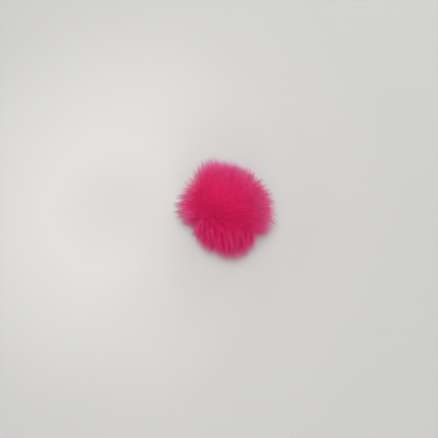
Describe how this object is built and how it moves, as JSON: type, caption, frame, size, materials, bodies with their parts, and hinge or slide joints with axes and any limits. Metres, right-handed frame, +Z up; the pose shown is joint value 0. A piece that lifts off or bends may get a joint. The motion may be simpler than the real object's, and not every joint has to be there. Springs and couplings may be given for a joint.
{
  "type": "faux fur pom-pom",
  "caption": "Soft round pom-pom of long hot pink faux fur, lying on a surface with its pile fallen into uneven tufts around a parting, used as a trimming for hats, bags and key rings.",
  "frame": {"origin": "on the surface that the pom-pom lies on, under the middle of its outline", "axes": "+Z up, +Y to the back, where the pile leans away from its parting, +X to the right seen from the front"},
  "size_m": [0.0828, 0.0878, 0.06],
  "materials": {
    "pink_fur": "long soft acrylic pile, hot pink, matte with a soft sheen on its tips"
  },
  "bodies": {
    "root": {"fur_ball": "pink_fur"}
  },
  "joints": []
}
